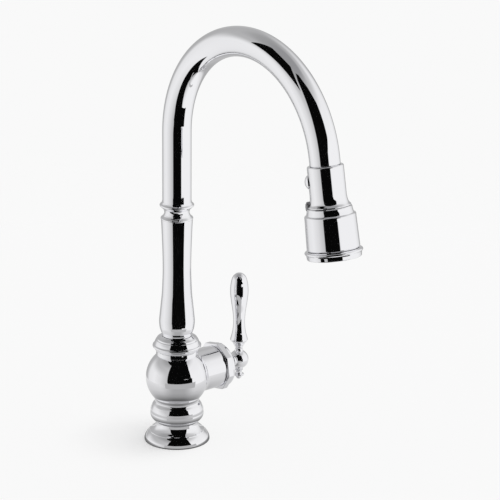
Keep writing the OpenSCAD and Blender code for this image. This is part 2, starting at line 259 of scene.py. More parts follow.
def cut(obj, cutters, loop, local, near=0.03):
    """Cuts cylinders (frame, radius, z0, z1 in mm) out of a turned piece and smooths it again."""
    for place, r, z0, z1 in cutters:
        tool_mesh = bpy.data.meshes.new("cutter")
        bm = bmesh.new()
        made = bmesh.ops.create_cone(bm, cap_ends=True, segments=72, radius1=r * MM, radius2=r * MM,
                                     depth=(z1 - z0) * MM)
        bmesh.ops.translate(bm, verts=made["verts"], vec=(0, 0, (z0 + z1) / 2 * MM))
        bm.to_mesh(tool_mesh)
        bm.free()
        tool = bpy.data.objects.new("cutter", tool_mesh)
        bpy.context.scene.collection.objects.link(tool)
        tool.matrix_world = place
        mod = obj.modifiers.new("cut", "BOOLEAN")
        mod.operation = "DIFFERENCE"
        mod.object = tool
        mod.solver = "EXACT"
        apply_modifiers(obj)
        bpy.data.objects.remove(tool)
    pts = rounded(loop, True)
    p = np.array([q[0] for q in pts])
    nn = np.array([q[1] for q in pts])
    seg = np.roll(p, -1, axis=0) - p
    length2 = np.maximum((seg ** 2).sum(1), 1e-12)
    inverse = local.inverted()
    rot = local.to_3x3()

    def nearest(q):
        t = np.clip(((q - p) * seg).sum(1) / length2, 0, 1)
        d = np.hypot(*(p + seg * t[:, None] - q).T)
        i = int(d.argmin())
        return d[i], nn[i] * (1 - t[i]) + nn[(i + 1) % len(nn)] * t[i]

    mesh = obj.data
    local_co = [inverse @ v.co / MM for v in mesh.vertices]
    found = {}
    for i, c in enumerate(local_co):
        found[i] = nearest(np.array((math.hypot(c.x, c.y), c.z)))
    out = [None] * len(mesh.loops)
    for poly in mesh.polygons:
        c = inverse @ poly.center / MM
        flat_n = poly.normal
        for li in poly.loop_indices:
            vi = mesh.loops[li].vertex_index
            d, (nr, nz) = found[vi]
            q = local_co[vi]
            a = math.atan2(q.y, q.x)
            want = (rot @ Vector((nr * math.cos(a), nr * math.sin(a), nz))).normalized()
            out[li] = want if d < near and want.dot(flat_n) > 0.8 else flat_n.copy()
    mesh.polygons.foreach_set("use_smooth", [True] * len(mesh.polygons))
    mesh.normals_split_custom_set([tuple(n) for n in out])
    return obj


# ---------------------------------------------------------------- materials


def tree_of(mat):
    mat.use_nodes = True
    tree = mat.node_tree
    return tree, tree.nodes["Principled BSDF"]


def noise(tree, scale, detail=3, rough=0.5):
    coord = tree.nodes.new("ShaderNodeTexCoord")
    tex = tree.nodes.new("ShaderNodeTexNoise")
    tex.inputs["Scale"].default_value = scale
    tex.inputs["Detail"].default_value = detail
    tex.inputs["Roughness"].default_value = rough
    tree.links.new(coord.outputs["Object"], tex.inputs["Vector"])
    return tex


def ranged(tree, source, low, high, lo=0.3, hi=0.7):
    node = tree.nodes.new("ShaderNodeMapRange")
    node.inputs["From Min"].default_value = lo
    node.inputs["From Max"].default_value = hi
    node.inputs["To Min"].default_value = low
    node.inputs["To Max"].default_value = high
    tree.links.new(source, node.inputs["Value"])
    return node.outputs["Result"]


def bump(tree, bsdf, source, distance, strength):
    node = tree.nodes.new("ShaderNodeBump")
    node.inputs["Distance"].default_value = distance
    node.inputs["Strength"].default_value = strength
    tree.links.new(source, node.inputs["Height"])
    tree.links.new(node.outputs["Normal"], bsdf.inputs["Normal"])


def two_tone(tree, source, start, end, dark, bright):
    """A colour from dark to bright, as the source runs from start to end."""
    ramp = tree.nodes.new("ShaderNodeValToRGB")
    for stop, position, colour in zip(ramp.color_ramp.elements, (start, end), (dark, bright)):
        stop.position = position
        stop.color = colour + (1,)
    tree.links.new(source, ramp.inputs["Fac"])
    return ramp.outputs["Color"]


def surface(name, colour, metallic, rough, grain_scale=400, grain=0.1, spread=0.25, tint=0.06):
    """A material whose roughness, colour and fine relief vary by noise."""
    mat = bpy.data.materials.new(name)
    tree, bsdf = tree_of(mat)
    bsdf.inputs["Metallic"].default_value = metallic
    wear = noise(tree, 45, 4, 0.6)
    worn = ranged(tree, wear.outputs["Fac"], rough * (1 - spread), rough * (1 + spread))
    tree.links.new(worn, bsdf.inputs["Roughness"])
    dark = tuple(c * (1 - tint) for c in colour)
    bright = tuple(min(1, c * (1 + tint)) for c in colour)
    tone = noise(tree, 18, 3)
    shade = two_tone(tree, tone.outputs["Fac"], 0.35, 0.65, dark, bright)
    tree.links.new(shade, bsdf.inputs["Base Color"])
    fine = noise(tree, grain_scale, 3, 0.6)
    bump(tree, bsdf, fine.outputs["Fac"], 0.0002, grain)
    return mat


def chrome_material():
    """Bright polished chrome: faint smudges in the roughness, a very faint waviness of the polish."""
    mat = bpy.data.materials.new("chrome")
    tree, bsdf = tree_of(mat)
    bsdf.inputs["Metallic"].default_value = 1
    wear = noise(tree, 38, 5, 0.6)
    tree.links.new(ranged(tree, wear.outputs["Fac"], 0.018, 0.05, 0.4, 0.75), bsdf.inputs["Roughness"])
    tone = noise(tree, 9, 2)
    shade = two_tone(tree, tone.outputs["Fac"], 0.3, 0.7, (0.955, 0.955, 0.980), (0.972, 0.972, 0.992))
    tree.links.new(shade, bsdf.inputs["Base Color"])
    fine = noise(tree, 22, 2, 0.4)
    bump(tree, bsdf, fine.outputs["Fac"], 0.0002, 0.02)
    return mat


def braid_material():
    """A crossed braid of fine strands over the hose."""
    mat = bpy.data.materials.new("hose_braid")
    tree, bsdf = tree_of(mat)
    bsdf.inputs["Metallic"].default_value = 0.0
    bsdf.inputs["Roughness"].default_value = 0.55
    attribute = tree.nodes.new("ShaderNodeUVMap")
    attribute.uv_map = "braid"
    waves = []
    for turn in (45, -45):
        mapping = tree.nodes.new("ShaderNodeMapping")
        mapping.inputs["Rotation"].default_value = (0, 0, math.radians(turn))
        wave = tree.nodes.new("ShaderNodeTexWave")
        wave.inputs["Scale"].default_value = 1.0
        wave.inputs["Distortion"].default_value = 0.4
        tree.links.new(attribute.outputs["UV"], mapping.inputs["Vector"])
        tree.links.new(mapping.outputs["Vector"], wave.inputs["Vector"])
        waves.append(wave)
    both = tree.nodes.new("ShaderNodeMath")
    both.operation = "MAXIMUM"
    tree.links.new(waves[0].outputs["Fac"], both.inputs[0])
    tree.links.new(waves[1].outputs["Fac"], both.inputs[1])
    shade = two_tone(tree, both.outputs[0], 0.3, 1, (0.10, 0.10, 0.11), (0.42, 0.43, 0.45))
    tree.links.new(shade, bsdf.inputs["Base Color"])
    bump(tree, bsdf, both.outputs[0], 0.0004, 0.8)
    return mat


MATERIALS = {
    "chrome": chrome_material(),
    "brass": surface("brass", (0.72, 0.52, 0.24), 1, 0.3, 500, 0.15),
    "copper": surface("copper", (0.76, 0.40, 0.26), 1, 0.27, 350, 0.12, tint=0.1),
    "steel": surface("steel", (0.62, 0.62, 0.63), 1, 0.32, 500, 0.12),
    "black_rubber": surface("black_rubber", (0.025, 0.025, 0.027), 0, 0.62, 700, 0.35),
    "white_plastic": surface("white_plastic", (0.82, 0.82, 0.80), 0, 0.4, 600, 0.12, tint=0.02),
    "dark_plastic": surface("dark_plastic", (0.05, 0.05, 0.055), 0, 0.45, 600, 0.2),
    "ceramic": surface("ceramic", (0.88, 0.87, 0.84), 0, 0.12, 300, 0.04, tint=0.015),
    "magnet": surface("magnet", (0.16, 0.16, 0.17), 0.6, 0.5, 400, 0.25),
    "hose_braid": braid_material(),
    "nozzle_silicone": surface("nozzle_silicone", (0.07, 0.07, 0.075), 0, 0.55, 700, 0.2),
    "satin_plate": surface("satin_plate", (0.66, 0.66, 0.67), 1, 0.28, 900, 0.1),
    "ribbed_button": surface("ribbed_button", (0.30, 0.30, 0.31), 0.9, 0.3, 600, 0.2),
}
for node_object in NODES.values():
    slot_name = node_object.material_slots[0].material.name if node_object.material_slots else "steel"
    slot_name = slot_name if slot_name in MATERIALS else slot_name.split(".")[0]
    for material_slot in node_object.material_slots:
        material_slot.material = MATERIALS.get(slot_name, MATERIALS["steel"])

# ---------------------------------------------------------------- camera and light

CAMERA_AT = Vector((-1.516, -1.8728, 0.9612))
CAMERA_AZIMUTH = math.radians(40.73)
CAMERA_PITCH = math.radians(-17.48)
CAMERA_ROLL = math.radians(0.5)
FOCAL_MM = 181.56

forward = Vector((math.sin(CAMERA_AZIMUTH) * math.cos(CAMERA_PITCH),
                  math.cos(CAMERA_AZIMUTH) * math.cos(CAMERA_PITCH),
                  math.sin(CAMERA_PITCH)))
right = Vector((math.cos(CAMERA_AZIMUTH), -math.sin(CAMERA_AZIMUTH), 0))
up = right.cross(forward)
right, up = (right * math.cos(CAMERA_ROLL) + up * math.sin(CAMERA_ROLL),
             up * math.cos(CAMERA_ROLL) - right * math.sin(CAMERA_ROLL))
camera_data = bpy.data.cameras.new("camera")
camera_data.lens = FOCAL_MM
camera_data.sensor_width = 36
camera_data.clip_end = 200
camera = bpy.data.objects.new("camera", camera_data)
camera.matrix_world = Matrix.Translation(CAMERA_AT) @ Matrix((right, up, -forward)).transposed().to_4x4()
bpy.context.scene.collection.objects.link(camera)
bpy.context.scene.camera = camera
bpy.context.scene.view_settings.view_transform = "Standard"

# brightness of the backdrop as the camera sees it, and of the light that falls on the object
BACKDROP = 0.947
AMBIENT = 0.99
# radii between which the floor fades into the backdrop
FLOOR_SOLID, FLOOR_END = 0.62, 1.10
# the object's shadow stays near this point; further off the floor keeps a small share of its own shading
SHADOW_AT = (-0.036, 0.031, 0.0)
SHADOW_FROM, SHADOW_TO, SHADOW_LEAST = 0.025, 0.085, 0.12
# ray lengths between which the floor's reflection ends
REFLECTED_FROM, REFLECTED_TO = 0.21, 0.235
# height of the dark card over the body, and the number of flat parts in a curved card
OVERHEAD_Z = 0.22
CARD_PARTS = 24
BLACK = 0.002
TOWARDS_CAMERA = math.radians(-90) - CAMERA_AZIMUTH


class Nodes:
    """Short ways to build a node tree."""

    def __init__(self, tree):
        self.tree = tree

    def new(self, kind):
        return self.tree.nodes.new("ShaderNode" + kind)

    def put(self, value, socket):
        if isinstance(value, (int, float, tuple)):
            socket.default_value = value
        else:
            self.tree.links.new(value, socket)

    def math(self, op, a, b=None):
        n = self.new("Math")
        n.operation = op
        self.put(a, n.inputs[0])
        if b is not None:
            self.put(b, n.inputs[1])
        return n.outputs[0]

    def ramp(self, value, stops):
        n = self.new("ValToRGB")
        while len(n.color_ramp.elements) < len(stops):
            n.color_ramp.elements.new(0.5)
        for e, (at, level) in zip(n.color_ramp.elements, stops):
            e.position = at
            e.color = grey(level)
        self.put(value, n.inputs["Fac"])
        return n.outputs["Color"]

    def mix(self, fac, a, b):
        n = self.new("MixRGB")
        self.put(fac, n.inputs["Fac"])
        self.put(a, n.inputs["Color1"])
        self.put(b, n.inputs["Color2"])
        return n.outputs["Color"]

    def step(self, value, low, high):
        n = self.new("MapRange")
        n.interpolation_type = "SMOOTHSTEP"
        self.put(value, n.inputs["Value"])
        n.inputs["From Min"].default_value = low
        n.inputs["From Max"].default_value = high
        return n.outputs["Result"]

    def bearing(self, vector):
        """Bearing about Z, 0.5 towards the camera, a full turn from 0 to 1; and the vector's height."""
        turn = self.new("VectorRotate")
        turn.rotation_type = "Z_AXIS"
        turn.inputs["Angle"].default_value = -TOWARDS_CAMERA
        self.put(vector, turn.inputs["Vector"])
        xyz = self.new("SeparateXYZ")
        self.put(turn.outputs["Vector"], xyz.inputs["Vector"])
        around = self.math("ARCTAN2", xyz.outputs["Y"], xyz.outputs["X"])
        return self.math("ADD", self.math("DIVIDE", around, 2 * math.pi), 0.5), xyz.outputs["Z"]


def deg(d):
    """A bearing in degrees, 0 towards the camera, as a place on a ramp."""
    return 0.5 + d / 360


def rise(e):
    """A height in degrees above the horizon as a place on a ramp."""
    return 0.5 + e / 180


def by_bearing(*stops):
    """Ramp stops from pairs of bearing and brightness."""
    return [(deg(a), level) for a, level in stops]


def by_height(*stops):
    """Ramp stops from pairs of height and bearing."""
    return [(rise(e), deg(a)) for e, a in stops]


def grey(level):
    return (level, level, level, 1)


def make_world():
    """Even white for the camera and for diffuse light; reflections see a studio picture instead.

    The picture has bright and grey sides, a grey ceiling and a dark flag.
    """
    world = bpy.data.worlds.new("studio")
    bpy.context.scene.world = world
    world.use_nodes = True
    world.node_tree.nodes.clear()
    n = Nodes(world.node_tree)
    around, z = n.bearing(n.new("TexCoord").outputs["Generated"])
    height = n.math("ADD", n.math("DIVIDE", n.math("ARCSINE", z), math.pi), 0.5)
    side = n.ramp(around, by_bearing(
        (-180, 0.5), (-166, 0.46), (-156, 0.42), (-140, 0.46), (-122, 0.79), (-90, 0.85), (-60, 0.72),
        (-24, 0.44), (20, 0.8), (38, 0.89), (115, 0.89), (140, 0.76), (151, 0.42), (166, 0.42), (180, 0.5)))
    middle = n.ramp(around, by_bearing((-180, 0.42), (-100, 0.46), (-40, 0.52), (30, 0.80), (60, 0.86),
                                       (130, 0.84), (180, 0.42)))
    high = n.ramp(around, by_bearing((-180, 0.34), (0, 0.33), (45, 0.5), (100, 0.56), (180, 0.34)))
    studio = n.mix(n.step(height, rise(8), rise(34)), side, middle)
    studio = n.mix(n.step(height, rise(36), rise(60)), studio, high)
    studio = n.mix(n.step(height, rise(60), rise(76)), studio, (0.295, 0.295, 0.30, 1))
    flag_left = n.ramp(height, by_height(
        (-90, -70), (-67, -88), (-55, -98), (-47, -75), (-38, -48), (-30, -33), (-22, -27), (-15, -28),
        (-5, -34), (20, -34), (50, -34), (66, -24), (75, 20)))
    flag_right = n.ramp(height, by_height(
        (-90, -45), (-67, -25), (-55, 5), (-45, 20), (-30, 34), (-16, 37), (0, 28), (8, 30), (20, 46),
        (48, 48), (62, 30), (75, -20)))
    edge = 1.2 / 360
    in_left = n.step(n.math("SUBTRACT", around, flag_left), -edge, edge)
    in_right = n.step(n.math("SUBTRACT", flag_right, around), -edge, edge)
    studio = n.mix(n.math("MULTIPLY", in_left, in_right), studio, grey(BLACK))
    path = n.new("LightPath")
    plain = n.mix(path.outputs["Is Camera Ray"], grey(AMBIENT), grey(BACKDROP))
    colour = n.mix(path.outputs["Is Glossy Ray"], plain, studio)
    background = n.new("Background")
    n.put(colour, background.inputs["Color"])
    n.put(background.outputs["Background"], n.new("OutputWorld").inputs["Surface"])


make_world()


def stage_mesh(name, verts, faces, mat):
    mesh = bpy.data.meshes.new(name)
    mesh.from_pydata(verts, [], faces)
    obj = bpy.data.objects.new(name, mesh)
    bpy.context.scene.collection.objects.link(obj)
    obj.data.materials.append(mat)
    return obj


def emission(n, level):
    node = n.new("Emission")
    node.inputs["Color"].default_value = grey(level)
    return node.outputs["Emission"]


def blend_shaders(n, fac, a, b):
    node = n.new("MixShader")
    n.put(fac, node.inputs["Fac"])
    n.put(a, node.inputs[1])
    n.put(b, node.inputs[2])
    return node.outputs["Shader"]


def make_floor():
    """A pale floor that fades into the backdrop and can be seen through from below.

    The camera sees its shadow near the foot only. Reflections see painted shade on it instead: a glowing
    tone, darker close to the foot and on the side towards the camera, and no further than a short way off.
    """
    mat = bpy.data.materials.new("floor")
    tree, bsdf = tree_of(mat)
    n = Nodes(tree)
    bsdf.inputs["Base Color"].default_value = (0.965, 0.965, 0.965, 1)
    bsdf.inputs["Roughness"].default_value = 0.9
    bsdf.inputs["Specular IOR Level"].default_value = 0.0
    geometry = n.new("NewGeometry")
    around, _ = n.bearing(geometry.outputs["Position"])
    far = n.new("VectorMath")
    far.operation = "LENGTH"
    n.put(geometry.outputs["Position"], far.inputs[0])
    fade = n.step(far.outputs["Value"], FLOOR_SOLID, FLOOR_END)
    # painted shade that reflections see on the floor: darker close to the foot, darkest on the side towards
    # the camera
    sides = n.ramp(far.outputs["Value"], [(0.036, 0.16), (0.05, 0.30), (0.075, 0.50), (0.11, 0.63),
                                          (0.18, 0.71), (0.30, 0.80)])
    front_painted_shade = n.ramp(far.outputs["Value"], [(0.036, 0.10), (0.06, 0.30), (0.09, 0.38), (0.30, 0.42)])
    # the bearings towards the camera, which take the darker painted shade
    before = n.math("MULTIPLY", n.step(around, deg(-62), deg(-5)),
                    n.math("SUBTRACT", 1.0, n.step(around, deg(22), deg(72))))
    seen = n.new("Emission")
    n.put(n.mix(before, sides, front_painted_shade), seen.inputs["Color"])
    beside = n.new("VectorMath")
    beside.operation = "DISTANCE"
    n.put(geometry.outputs["Position"], beside.inputs[0])
    n.put(SHADOW_AT, beside.inputs[1])
    away = n.step(beside.outputs["Value"], SHADOW_FROM, SHADOW_TO)
    even = n.math("MULTIPLY", away, 1 - SHADOW_LEAST)
    lit = blend_shaders(n, even, bsdf.outputs["BSDF"], emission(n, BACKDROP))
    path = n.new("LightPath")
    far_ray = n.step(path.outputs["Ray Length"], REFLECTED_FROM, REFLECTED_TO)
    glossy = path.outputs["Is Glossy Ray"]
    # reflections see the glowing painted shade, everything else sees the lit floor
    tones = blend_shaders(n, glossy, lit, seen.outputs["Emission"])
    gone = n.math("MAXIMUM", n.math("MAXIMUM", geometry.outputs["Backfacing"], fade),
                  n.math("MULTIPLY", glossy, far_ray))
    whole = blend_shaders(n, gone, tones, n.new("BsdfTransparent").outputs["BSDF"])
    n.put(whole, tree.nodes["Material Output"].inputs["Surface"])
    size = FLOOR_END + 0.02
    corners = [(-size, -size, 0), (size, -size, 0), (size, size, 0), (-size, size, 0)]
    stage_mesh("floor", corners, [(0, 1, 2, 3)], mat)


make_floor()


def only_reflected(obj):
    obj.visible_camera = obj.visible_diffuse = obj.visible_shadow = obj.visible_transmission = False


def curved_card(name, centre, distance, start, end, low, high, mat):
    """A card round a point, between two bearings and two heights, that only reflections see."""
    verts, faces = [], []
    for i in range(CARD_PARTS + 1):
        a = TOWARDS_CAMERA + math.radians(start + (end - start) * i / CARD_PARTS)
        x, y = centre[0] + distance * math.cos(a), centre[1] + distance * math.sin(a)
        verts += [(x, y, low), (x, y, high)]
    for i in range(CARD_PARTS):
        faces.append((2 * i, 2 * i + 2, 2 * i + 3, 2 * i + 1))
    only_reflected(stage_mesh(name, verts, faces, mat))


def dark_card(name):
    mat = bpy.data.materials.new(name)
    bsdf = tree_of(mat)[1]
    bsdf.inputs["Base Color"].default_value = grey(BLACK)
    bsdf.inputs["Specular IOR Level"].default_value = 0.0
    return mat


def grey_card(name, level):
    mat = bpy.data.materials.new(name)
    tree = tree_of(mat)[0]
    n = Nodes(tree)
    n.put(emission(n, level), tree.nodes["Material Output"].inputs["Surface"])
    return mat


def overhead_flag():
    """A dark card over the body, seen from below in reflections only: it gives the ball one clean patch."""
    towards = Vector((math.cos(TOWARDS_CAMERA), math.sin(TOWARDS_CAMERA), 0))
    side = Vector((-towards.y, towards.x, 0))
    # distances towards the camera and to its right
    outline = [(0.016, -0.022), (0.075, -0.045), (0.162, -0.087), (0.388, -0.212), (1.50, -0.86),
               (1.00, 1.45), (0.362, 0.497), (0.133, 0.180), (0.053, 0.102), (-0.003, 0.069), (0.012, 0.024)]
    mat = bpy.data.materials.new("flag_over")
    tree = tree_of(mat)[0]
    n = Nodes(tree)
    above = n.new("NewGeometry").outputs["Backfacing"]
    card = blend_shaders(n, above, emission(n, BLACK), n.new("BsdfTransparent").outputs["BSDF"])
    n.put(card, tree.nodes["Material Output"].inputs["Surface"])
    verts = [tuple(towards * a + side * b + Vector((0, 0, OVERHEAD_Z))) for a, b in outline]
    obj = stage_mesh("flag_over", verts, [tuple(range(len(verts)))], mat)
    if obj.data.polygons[0].normal.z > 0:
        obj.data.flip_normals()
    only_reflected(obj)


curved_card("flag_high", (0, -0.1), 0.35, -90, -27, 0.60, 1.25, dark_card("flag_high"))
curved_card("flag_low", (0, 0), 0.5, -30, 58, -0.12, 0.118, dark_card("flag_low"))
overhead_flag()
curved_card("low_screen", (0, 0), 0.15, -38, 66, 0.0005, 0.05, grey_card("low_screen", 0.44))


def soft_box(name, at, towards, width, height, power):
    light = bpy.data.lights.new(name, "AREA")
    light.shape = "RECTANGLE"
    light.size, light.size_y, light.energy = width, height, power
    obj = bpy.data.objects.new(name, light)
    obj.matrix_world = (Matrix.Translation(at)
                        @ (Vector(towards) - Vector(at)).to_track_quat("-Z", "Y").to_matrix().to_4x4())
    obj.visible_glossy = False
    bpy.context.scene.collection.objects.link(obj)


soft_box("key", (1.5, -0.7, 1.3), (0, 0, 0.05), 1.8, 1.8, 1.2)

# ---------------------------------------------------------------- base and body

turned("foot", "base_flange", [(32.7, 0)] + arc((32.7, 0.6), 0.6, -90, 0)
       + curve([(33.3, 1.4), (32.7, 3.8), (31.5, 6), (29.8, 8.2), (27.9, 10)])
       + curve([(27.6, 10.5), (25.9, 11.6), (24.1, 13.2), (22.7, 15.2), (21.7, 17.4), (21.1, 20)]),
       WORLD, "chrome", inner=[(30.3, 0), (30.3, 2), (15.3, 2), (15.3, 20)])

BALL_R, BOSS_R, BOSS_X = 31.6, 21.8, 47.9
# the fillet runs out this far above the ball, so that the two never mix
PROUD = 0.03


def casting():
    ball_z = BALL_Z / MM
    pedestal = ([(21.3, 20.3), (22, 21.2)]
                + curve([(22.6, 21.8), (25, 23.5), (26.6, 25.8), (27.2, 28.6), (26.9, 30.6)])
                + curve([(26.9, 31.2), (26.9, 33.4), (26.2, 35.6), (24.9, 38.4)])
                + curve([(24.3, 39.2), (22.4, 41.4), (22.25, 43.0)]))
    low = math.degrees(math.asin((46.2 - ball_z) / BALL_R))
    high = 50
    ball = arc((0, ball_z), BALL_R, low, high, 110)
    neck = curve([(21.2, 92.6), (21.0, 94.2), (20.6, 96.2)])
    outline = upward(pedestal) + ball + neck
    loop = with_bore(outline, [(15, 20.3), (15, 30), (14, 30), (14, 90), (19.3, 95.2), (19.3, 96.2)])
    return piece("body", "body_casting", [shell(loop, WORLD, True, 192), boss_shell()])


def boss_shell(sides=192):
    """The side boss: a crisp crease against the ball above, a concave fillet below."""
    rows, edge, bore, inside = 22, 0.5, 17.6, 42.0
    # radius of the fillet above, and what it gains below
    crease, hollow, lowest = 0.35, 9.5, 2.0
    verts, normals, faces = [], [], []
    rot = BOSS.to_3x3()
    grid = []
    for k in range(sides):
        psi = 2 * math.pi * k / sides
        # local +X of the boss frame points down
        down = 0.5 + 0.5 * math.cos(psi)
        t = min(1.0, max(0.0, (down - 0.12) / 0.40))
        f = crease + hollow * t * t * (3 - 2 * t) + lowest * down * t
        cx = math.sqrt((BALL_R + PROUD + f) ** 2 - (BOSS_R + f) ** 2)
        a0 = math.atan2(BOSS_R + f, cx)
        pts = [((bore, inside), (-1, 0)), ((bore, BOSS_X - 0.01), (-1, 0)),
               ((bore, BOSS_X), (0, 1)), ((BOSS_R - edge, BOSS_X), (0, 1))]
        for j in range(1, 6):
            b = math.radians(90 - 90 * j / 5)
            out = (math.cos(b), math.sin(b))
            pts.append(((BOSS_R - edge + edge * out[0], BOSS_X - edge + edge * out[1]), out))
        pts.append(((BOSS_R, cx + 0.02), (1, 0)))
        for j in range(rows):
            b = (j + 1) / rows
            # from pointing at the boss (straight in) to pointing at the ball's centre
            theta = math.radians(-90) - b * (math.pi / 2 - a0)
            # theta measured in the (x, r) plane, about the fillet's centre
            x = cx + f * math.cos(theta)
            r = BOSS_R + f + f * math.sin(theta)
            pts.append(((r, x), (-math.sin(theta), -math.cos(theta))))
        (r, x), n = pts[-1]
        scale = (BALL_R - 0.6) / math.hypot(r, x)
        pts.append(((r * scale, x * scale), n))
        grid.append(pts)
    count = len(grid[0])
    for i in range(count):
        for k in range(sides):
            (r, x), (nr, nx) = grid[k][i]
            psi = 2 * math.pi * k / sides
            verts.append(BOSS @ Vector((r * math.cos(psi) * MM, r * math.sin(psi) * MM, x * MM)))
            normals.append((rot @ Vector((nr * math.cos(psi), nr * math.sin(psi), nx))).normalized())
    for i in range(count - 1):
        for k in range(sides):
            m = (k + 1) % sides
            faces.append((i * sides + k, (i + 1) * sides + k, (i + 1) * sides + m, i * sides + m))
    return verts, faces, normals


casting()

# ---------------------------------------------------------------- bonnet, dome, hub and lever

PIVOT_X = 52.0
SEAT_R, DOME_R, DOME_IN = 17.5, 17.1, 15.2


def prism(count, radius, z0, z1, turn, local, inner, bevel):
    """An n-sided prism with a round bore and rounded edges, as one shell."""
    bm = bmesh.new()
    ring = [bm.verts.new((radius * math.cos(math.radians(turn) + 2 * math.pi * i / count) * MM,
                          radius * math.sin(math.radians(turn) + 2 * math.pi * i / count) * MM, z0 * MM))
            for i in range(count)]
    face = bm.faces.new(ring)
    made = bmesh.ops.extrude_face_region(bm, geom=[face])
    bmesh.ops.translate(bm, verts=[g for g in made["geom"] if isinstance(g, bmesh.types.BMVert)],
                        vec=(0, 0, (z1 - z0) * MM))
    bmesh.ops.recalc_face_normals(bm, faces=bm.faces)
    bmesh.ops.bevel(bm, geom=list(bm.edges), offset=bevel * MM, segments=4, affect="EDGES", profile=0.5)
    mesh = bpy.data.meshes.new("prism")
    bm.to_mesh(mesh)
    bm.free()
    obj = bpy.data.objects.new("prism", mesh)
    bpy.context.scene.collection.objects.link(obj)
    tool_mesh = bpy.data.meshes.new("bore")
    bm = bmesh.new()
    made = bmesh.ops.create_cone(bm, cap_ends=True, segments=96, radius1=inner * MM, radius2=inner * MM,
                                 depth=(z1 - z0 + 4) * MM)
    bmesh.ops.translate(bm, verts=made["verts"], vec=(0, 0, (z0 + z1) / 2 * MM))
    bm.to_mesh(tool_mesh)
    bm.free()
    tool = bpy.data.objects.new("bore", tool_mesh)
    bpy.context.scene.collection.objects.link(tool)
    mod = obj.modifiers.new("bore", "BOOLEAN")
    mod.operation, mod.object, mod.solver = "DIFFERENCE", tool, "EXACT"
    apply_modifiers(obj)
    bpy.data.objects.remove(tool)
    mesh = obj.data
    big = {}
    for poly in mesh.polygons:
        for v in poly.vertices:
            a, n = big.get(v, (0, None))
            if poly.area > a:
                big[v] = (poly.area, poly.normal.copy())
    verts, faces, normals = [], [], []
    rot = local.to_3x3()
    for poly in mesh.polygons:
        base = len(verts)
        c = poly.center / MM
        inside = math.hypot(c.x, c.y) < inner + 0.2 and abs(poly.normal.z) < 0.5
        for v in poly.vertices:
            co = mesh.vertices[v].co
            n = big[v][1]
            if inside or n.dot(poly.normal) < 0.2:
                n = poly.normal
            verts.append(local @ co)
            normals.append((rot @ n).normalized())
        faces.append(tuple(range(base, base + len(poly.vertices))))
    bpy.data.objects.remove(obj)
    return verts, faces, normals


def bonnet():
    """The octagonal nut and its domed shoulder, with the round seat of the dome."""
    bore = 19.3
    low = span("bonnet_nut", BOSS)[0]
    top = low + 6.8
    octagon = prism(8, 25.6, low, top, 12, BOSS, bore, 0.55)
    outline = ([(21.6, top - 0.3), (23.2, top - 0.3), (23.2, top + 0.6)] + arc((19.9, top + 1.4), 3.2, 0, 60)
               + curve([(20.6, top + 4.6), (17.6, top + 6.6), (14.6, top + 7.8)]))
    z_end = top + 7.8
    seat0 = math.degrees(math.acos((z_end - PIVOT_X) / SEAT_R))
    seat = [(SEAT_R * math.sin(math.radians(a)), PIVOT_X + SEAT_R * math.cos(math.radians(a)))
            for a in np.linspace(80, seat0, 16)]
    loop = outline + seat[::-1] + [(bore, seat[0][1]), (bore, top - 0.3)]
    return piece("bonnet", "bonnet_nut", [octagon, shell(loop, BOSS, True)])


bonnet()


def polar(r, a):
    return (r * math.sin(math.radians(a)), PIVOT_X + r * math.cos(math.radians(a)))


turned("dome", "dome_cap", [polar(DOME_R, a) for a in np.linspace(76, 10.2, 48)]
       + [polar(DOME_IN, a) for a in np.linspace(11.5, 74.6, 40)], BOSS, "chrome")


def hub():
    """The hub's ball with its upright ends, and the neck that leaves the dome."""
    low, ball_r = 56.2, 10
    shift = span("handle_hub", LEVER)[0] - low
    bottom = [(0.02, low), (3.6, low), (4.2, 57.4)]
    top = [(4.2, 77.6), (4, 78.4), (3.6, 79.4), (0.02, 79.4)]
    outline = bottom + arc((0, BALL_Z / MM), ball_r, -65, 65, 79) + top
    upright = shell([(r, z + shift) for r, z in outline], LEVER, False)
    neck = ([(3.1, 69.5), (7.0, 69.5), (7.2, 69.7), (7.2, 70.6)] + curve([(6.4, 71.6), (5.9, 73), (6.2, 75)])
            + [(3.1, 75)])
    return piece("hub", "handle_hub", [upright, shell(neck, BOSS, True)])


hub()

turned("lever", "lever_handle", [(0.02, 79.5), (3.4, 79.5)] + arc((3.2, 81.2), 1.1, -80, 80) + [(3.7, 82.5)]
       + arc((4.4, 84), 1.2, -80, 80)
       + curve([(4.6, 85.2), (7, 86.2), (8.9, 88.4), (9, 89.7), (8, 93.4), (6.7, 99.5), (6, 108.6),
                (6.7, 119), (8.4, 130.5), (9.45, 140.7), (8.9, 149.5), (7, 156.6), (3.6, 160.3),
                (0.4, 161), (0.02, 161)], 14),
       LEVER, "chrome", closed=False)
turned("finial", "lever_finial", [(0.02, 45.6), (0.4, 45.6)] + curve([(1.4, 45.9), (2.7, 47.4), (3, 49)])
       + arc((4.4, 50.6), 1.1, -80, 80) + curve([(4, 51.9), (3.2, 53.2), (3.5, 55), (4.3, 56.1)])
       + [(0.02, 56.1)], LEVER, "chrome", closed=False)

# ---------------------------------------------------------------- spout

